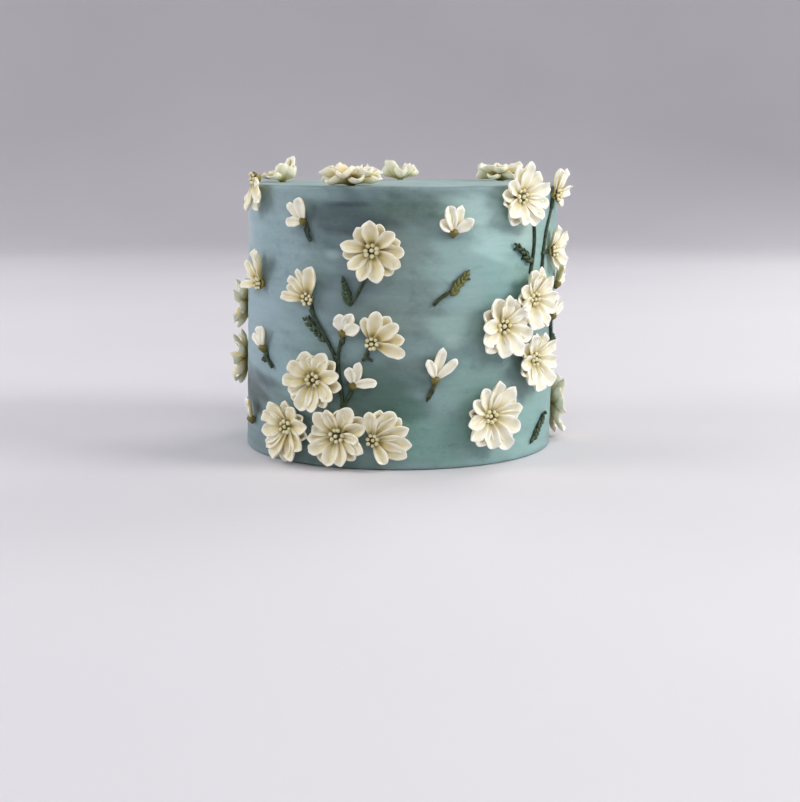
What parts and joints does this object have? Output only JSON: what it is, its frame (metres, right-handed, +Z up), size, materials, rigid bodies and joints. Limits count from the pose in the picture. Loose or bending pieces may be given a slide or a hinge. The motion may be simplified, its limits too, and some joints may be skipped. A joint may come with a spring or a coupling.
{
  "type": "wedding cake",
  "caption": "Tall round single-tier cake with smooth blue-green icing, set with cream daisies, half daisies and buds on thin green sprays.",
  "frame": {"origin": "middle of the cake's flat underside, where it rests", "axes": "+Z up through the cake, -Y towards the front, +X to the right seen from the front"},
  "size_m": [0.1677, 0.1678, 0.1423],
  "materials": {
    "icing": "satin buttercream, watercolour smears of slate blue, teal and pale turquoise",
    "petals": "smooth satin cream paste, whiter rims and yellow-olive recesses",
    "greenery": "satin dark green piped paste"
  },
  "bodies": {
    "root": {"bud_01": "petals", "bud_02": "petals", "bud_03": "petals", "bud_04": "petals", "bud_05": "petals", "bud_06": "petals", "bud_07": "petals", "bud_08": "petals", "bud_09": "petals", "bud_10": "petals", "bud_11": "petals", "bud_12": "petals", "daisy_01": "petals", "daisy_02": "petals", "daisy_03": "petals", "daisy_04": "petals", "daisy_05": "petals", "daisy_06": "petals", "daisy_07": "petals", "daisy_08": "petals", "daisy_09": "petals", "daisy_10": "petals", "daisy_11": "petals", "daisy_12": "petals", "daisy_13": "petals", "daisy_14": "petals", "daisy_15": "petals", "daisy_16": "petals", "daisy_17": "petals", "daisy_18": "petals", "daisy_19": "petals", "daisy_20": "petals", "daisy_21": "petals", "daisy_22": "petals", "daisy_23": "petals", "fan_01": "petals", "fan_02": "petals", "fan_03": "petals", "fan_04": "petals", "fan_05": "petals", "fan_06": "petals", "fan_07": "petals", "fan_08": "petals", "fan_09": "petals", "fan_10": "petals", "iced_cake": "icing", "spray_01": "greenery", "spray_02": "greenery", "spray_03": "greenery", "spray_04": "greenery", "spray_05": "greenery", "spray_06": "greenery", "spray_07": "greenery", "spray_08": "greenery", "spray_09": "greenery", "spray_10": "greenery", "spray_11": "greenery", "spray_12": "greenery", "spray_13": "greenery", "spray_14": "greenery"}
  },
  "joints": []
}
